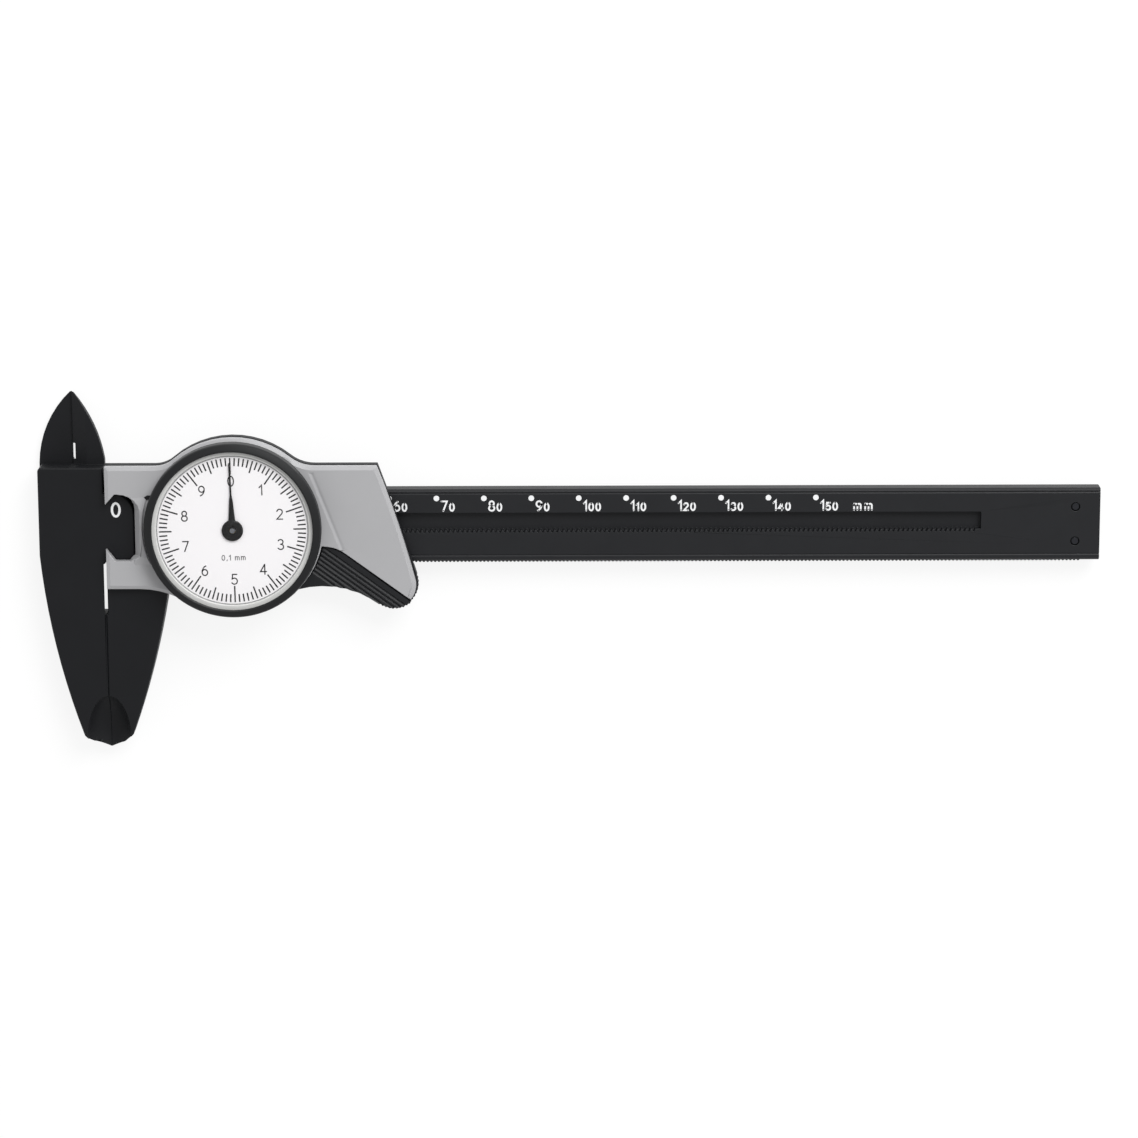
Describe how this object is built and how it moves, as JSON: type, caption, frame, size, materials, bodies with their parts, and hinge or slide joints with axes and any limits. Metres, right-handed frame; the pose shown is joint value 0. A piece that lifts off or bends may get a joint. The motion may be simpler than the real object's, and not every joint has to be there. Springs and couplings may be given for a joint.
{
  "type": "dial caliper",
  "caption": "Dial caliper with a rack beam, sliding jaw, inside and outside jaws, depth rod, ribbed thumb rest and a round dial with a turning bezel and pointer.",
  "frame": {"origin": "middle of the footprint on the plane that the caliper's back lies on", "axes": "+X along the beam to its free end, +Y towards the inside jaws, +Z out of the dial"},
  "size_m": [0.224, 0.0768, 0.0138],
  "materials": {
    "black_body": "moulded glass-filled plastic, fine satin grain",
    "silver_cover": "silver coloured plastic, satin",
    "bezel_black": "smooth satin black plastic",
    "dial_white": "printed white disc",
    "spacer_light": "light plastic ring",
    "pointer_black": "black lacquer",
    "crystal_clear": "clear plastic window, polished",
    "steel": "plain turned or rolled steel",
    "brass": "stamped or turned brass",
    "rod_black": "moulded plastic strip"
  },
  "bodies": {
    "fixed_frame": {"beam": "black_body", "end_stop": "black_body", "stop_pin_upper": "steel", "stop_pin_lower": "steel"},
    "slide": {"slide_body": "black_body", "slide_cover": "silver_cover", "cover_screw_1": "steel", "cover_screw_2": "steel", "cover_screw_3": "steel", "depth_rod": "rod_black", "slide_spring": "steel", "movement_plate": "brass", "lower_bush": "brass", "upper_bush": "brass", "pinion_bridge": "brass", "bridge_screw_1": "steel", "bridge_screw_2": "steel", "plate_screw_1": "steel", "plate_screw_2": "steel", "mesh_spring": "steel", "bezel_snap_ring": "steel"},
    "dial_ring": {"bezel": "bezel_black", "dial": "dial_white", "dial_spacer_ring": "spacer_light", "crystal": "crystal_clear"},
    "pointer_spindle": {"pinion_arbor": "steel", "pointer": "pointer_black"}
  },
  "joints": [
    {"name": "slide_travel", "type": "slide", "parent": "fixed_frame", "child": "slide", "axis": [1, 0, 0], "range_m": [0, 0.15]},
    {"name": "bezel_turn", "type": "hinge", "parent": "slide", "child": "dial_ring", "pos_m": [-0.0706, 0.0105, 0.0117], "axis": [0, 0, 1], "continuous": true},
    {"name": "pointer_turn", "type": "hinge", "parent": "slide", "child": "pointer_spindle", "pos_m": [-0.0706, 0.0105, 0.0085], "axis": [0, 0, 1], "range_deg": [-5402, 2]}
  ],
  "couplings": [
    {"joint": "pointer_turn", "follows": "slide_travel", "rad_per_m": -628.32}
  ]
}
